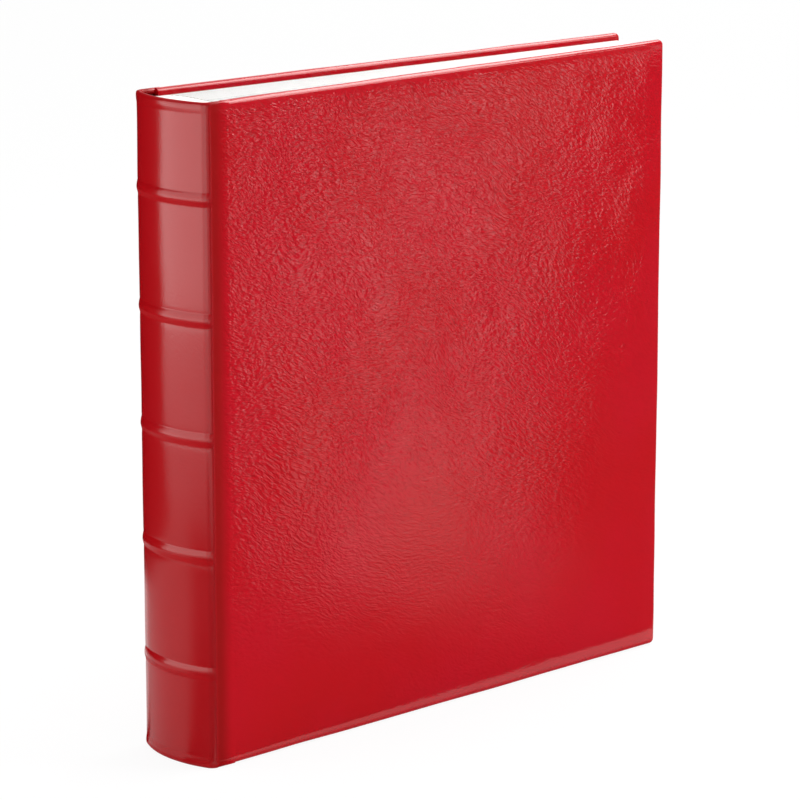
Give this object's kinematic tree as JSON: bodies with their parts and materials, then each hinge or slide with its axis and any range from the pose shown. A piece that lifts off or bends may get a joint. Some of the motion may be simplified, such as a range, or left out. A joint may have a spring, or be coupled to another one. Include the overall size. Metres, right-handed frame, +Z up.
{
  "type": "stamp album",
  "caption": "Upright bound stamp album in red leather with a raised-band spine, hinged covers and white card leaves with glassine strips that hold stamps.",
  "frame": {"origin": "centre of the album's box at the level of the tail edges it stands on", "axes": "+X from the spine to the fore-edge, +Y from the front cover to the rear cover, +Z up along the spine"},
  "size_m": [0.3092, 0.0538, 0.32],
  "materials": {
    "red_leather": "grained, semi-gloss",
    "greyboard": "matt",
    "band_core": "matt",
    "endpaper": "matt",
    "mull": "open weave",
    "white_card": "smooth",
    "linen": "woven",
    "glassine": "glazed"
  },
  "bodies": {
    "spine": {"spine_leather": "red_leather", "spine_liner": "greyboard", "raised_band_1": "band_core", "raised_band_2": "band_core", "raised_band_3": "band_core", "raised_band_4": "band_core", "raised_band_5": "band_core", "mull": "mull", "guards": "white_card", "front_linen_hinges": "linen", "rear_linen_hinges": "linen", "front_joint_leather": "red_leather", "rear_joint_leather": "red_leather", "front_endpaper_joint": "endpaper", "rear_endpaper_joint": "endpaper"},
    "front_cover": {"front_leather": "red_leather", "front_board": "greyboard", "front_pastedown": "endpaper"},
    "front_flyleaf": {"front_flyleaf": "endpaper"},
    "rear_cover": {"rear_leather": "red_leather", "rear_board": "greyboard", "rear_pastedown": "endpaper"},
    "rear_flyleaf": {"rear_flyleaf": "endpaper"},
    "leaf_01": {"leaf_01": "white_card", "leaf_01_glassine": "glassine"},
    "leaf_02": {"leaf_02": "white_card", "leaf_02_glassine": "glassine"},
    "leaf_03": {"leaf_03": "white_card", "leaf_03_glassine": "glassine"},
    "leaf_04": {"leaf_04": "white_card", "leaf_04_glassine": "glassine"},
    "leaf_05": {"leaf_05": "white_card", "leaf_05_glassine": "glassine"},
    "leaf_06": {"leaf_06": "white_card", "leaf_06_glassine": "glassine"},
    "leaf_07": {"leaf_07": "white_card", "leaf_07_glassine": "glassine"},
    "leaf_08": {"leaf_08": "white_card", "leaf_08_glassine": "glassine"},
    "leaf_09": {"leaf_09": "white_card", "leaf_09_glassine": "glassine"},
    "leaf_10": {"leaf_10": "white_card", "leaf_10_glassine": "glassine"},
    "leaf_11": {"leaf_11": "white_card", "leaf_11_glassine": "glassine"},
    "leaf_12": {"leaf_12": "white_card", "leaf_12_glassine": "glassine"},
    "leaf_13": {"leaf_13": "white_card", "leaf_13_glassine": "glassine"},
    "leaf_14": {"leaf_14": "white_card", "leaf_14_glassine": "glassine"},
    "leaf_15": {"leaf_15": "white_card", "leaf_15_glassine": "glassine"},
    "leaf_16": {"leaf_16": "white_card", "leaf_16_glassine": "glassine"}
  },
  "joints": [
    {"name": "front_cover_hinge", "type": "hinge", "parent": "spine", "child": "front_cover", "pos_m": [-0.14015, -0.027, 0], "axis": [0, 0, -1], "range_deg": [0, 175], "deforming": ["front_joint_leather", "front_endpaper_joint"]},
    {"name": "rear_cover_hinge", "type": "hinge", "parent": "spine", "child": "rear_cover", "pos_m": [-0.14015, 0.027, 0], "axis": [0, 0, 1], "range_deg": [0, 175], "deforming": ["rear_joint_leather", "rear_endpaper_joint"]},
    {"name": "front_flyleaf_turn", "type": "hinge", "parent": "spine", "child": "front_flyleaf", "pos_m": [-0.13865, -0.02183, 0], "axis": [0, 0, -1], "range_deg": [0, 104]},
    {"name": "rear_flyleaf_turn", "type": "hinge", "parent": "spine", "child": "rear_flyleaf", "pos_m": [-0.13865, 0.02183, 0], "axis": [0, 0, 1], "range_deg": [0, 104]},
    {"name": "leaf_01_turn", "type": "hinge", "parent": "spine", "child": "leaf_01", "pos_m": [-0.13085, -0.01991, 0], "axis": [0, 0, -1], "range_deg": [0, 88], "deforming": ["front_linen_hinges"]},
    {"name": "leaf_02_turn", "type": "hinge", "parent": "spine", "child": "leaf_02", "pos_m": [-0.12953, -0.01725, 0], "axis": [0, 0, -1], "range_deg": [0, 77]},
    {"name": "leaf_03_turn", "type": "hinge", "parent": "spine", "child": "leaf_03", "pos_m": [-0.12865, -0.0146, 0], "axis": [0, 0, -1], "range_deg": [0, 66]},
    {"name": "leaf_04_turn", "type": "hinge", "parent": "spine", "child": "leaf_04", "pos_m": [-0.1282, -0.01195, 0], "axis": [0, 0, -1], "range_deg": [0, 55]},
    {"name": "leaf_05_turn", "type": "hinge", "parent": "spine", "child": "leaf_05", "pos_m": [-0.12815, -0.00929, 0], "axis": [0, 0, -1], "range_deg": [0, 44]},
    {"name": "leaf_06_turn", "type": "hinge", "parent": "spine", "child": "leaf_06", "pos_m": [-0.12815, -0.00664, 0], "axis": [0, 0, -1], "range_deg": [0, 33]},
    {"name": "leaf_07_turn", "type": "hinge", "parent": "spine", "child": "leaf_07", "pos_m": [-0.12815, -0.00398, 0], "axis": [0, 0, -1], "range_deg": [0, 22]},
    {"name": "leaf_08_turn", "type": "hinge", "parent": "spine", "child": "leaf_08", "pos_m": [-0.12815, -0.00133, 0], "axis": [0, 0, -1], "range_deg": [0, 11]},
    {"name": "leaf_09_turn", "type": "hinge", "parent": "spine", "child": "leaf_09", "pos_m": [-0.12815, 0.00133, 0], "axis": [0, 0, 1], "range_deg": [0, 11]},
    {"name": "leaf_10_turn", "type": "hinge", "parent": "spine", "child": "leaf_10", "pos_m": [-0.12815, 0.00398, 0], "axis": [0, 0, 1], "range_deg": [0, 22]},
    {"name": "leaf_11_turn", "type": "hinge", "parent": "spine", "child": "leaf_11", "pos_m": [-0.12815, 0.00664, 0], "axis": [0, 0, 1], "range_deg": [0, 33]},
    {"name": "leaf_12_turn", "type": "hinge", "parent": "spine", "child": "leaf_12", "pos_m": [-0.12815, 0.00929, 0], "axis": [0, 0, 1], "range_deg": [0, 44]},
    {"name": "leaf_13_turn", "type": "hinge", "parent": "spine", "child": "leaf_13", "pos_m": [-0.1282, 0.01195, 0], "axis": [0, 0, 1], "range_deg": [0, 55]},
    {"name": "leaf_14_turn", "type": "hinge", "parent": "spine", "child": "leaf_14", "pos_m": [-0.12865, 0.0146, 0], "axis": [0, 0, 1], "range_deg": [0, 66]},
    {"name": "leaf_15_turn", "type": "hinge", "parent": "spine", "child": "leaf_15", "pos_m": [-0.12953, 0.01725, 0], "axis": [0, 0, 1], "range_deg": [0, 77]},
    {"name": "leaf_16_turn", "type": "hinge", "parent": "spine", "child": "leaf_16", "pos_m": [-0.13085, 0.01991, 0], "axis": [0, 0, 1], "range_deg": [0, 88], "deforming": ["rear_linen_hinges"]}
  ],
  "couplings": [
    {"joint": "front_flyleaf_turn", "follows": "front_cover_hinge", "ratio": 0.59428},
    {"joint": "rear_flyleaf_turn", "follows": "rear_cover_hinge", "ratio": 0.59428},
    {"joint": "leaf_01_turn", "follows": "front_cover_hinge", "ratio": 0.50286},
    {"joint": "leaf_02_turn", "follows": "front_cover_hinge", "ratio": 0.44},
    {"joint": "leaf_03_turn", "follows": "front_cover_hinge", "ratio": 0.37714},
    {"joint": "leaf_04_turn", "follows": "front_cover_hinge", "ratio": 0.31428},
    {"joint": "leaf_05_turn", "follows": "front_cover_hinge", "ratio": 0.25143},
    {"joint": "leaf_06_turn", "follows": "front_cover_hinge", "ratio": 0.18857},
    {"joint": "leaf_07_turn", "follows": "front_cover_hinge", "ratio": 0.12571},
    {"joint": "leaf_08_turn", "follows": "front_cover_hinge", "ratio": 0.062857},
    {"joint": "leaf_09_turn", "follows": "rear_cover_hinge", "ratio": 0.062857},
    {"joint": "leaf_10_turn", "follows": "rear_cover_hinge", "ratio": 0.12571},
    {"joint": "leaf_11_turn", "follows": "rear_cover_hinge", "ratio": 0.18857},
    {"joint": "leaf_12_turn", "follows": "rear_cover_hinge", "ratio": 0.25143},
    {"joint": "leaf_13_turn", "follows": "rear_cover_hinge", "ratio": 0.31428},
    {"joint": "leaf_14_turn", "follows": "rear_cover_hinge", "ratio": 0.37714},
    {"joint": "leaf_15_turn", "follows": "rear_cover_hinge", "ratio": 0.44},
    {"joint": "leaf_16_turn", "follows": "rear_cover_hinge", "ratio": 0.50286}
  ]
}
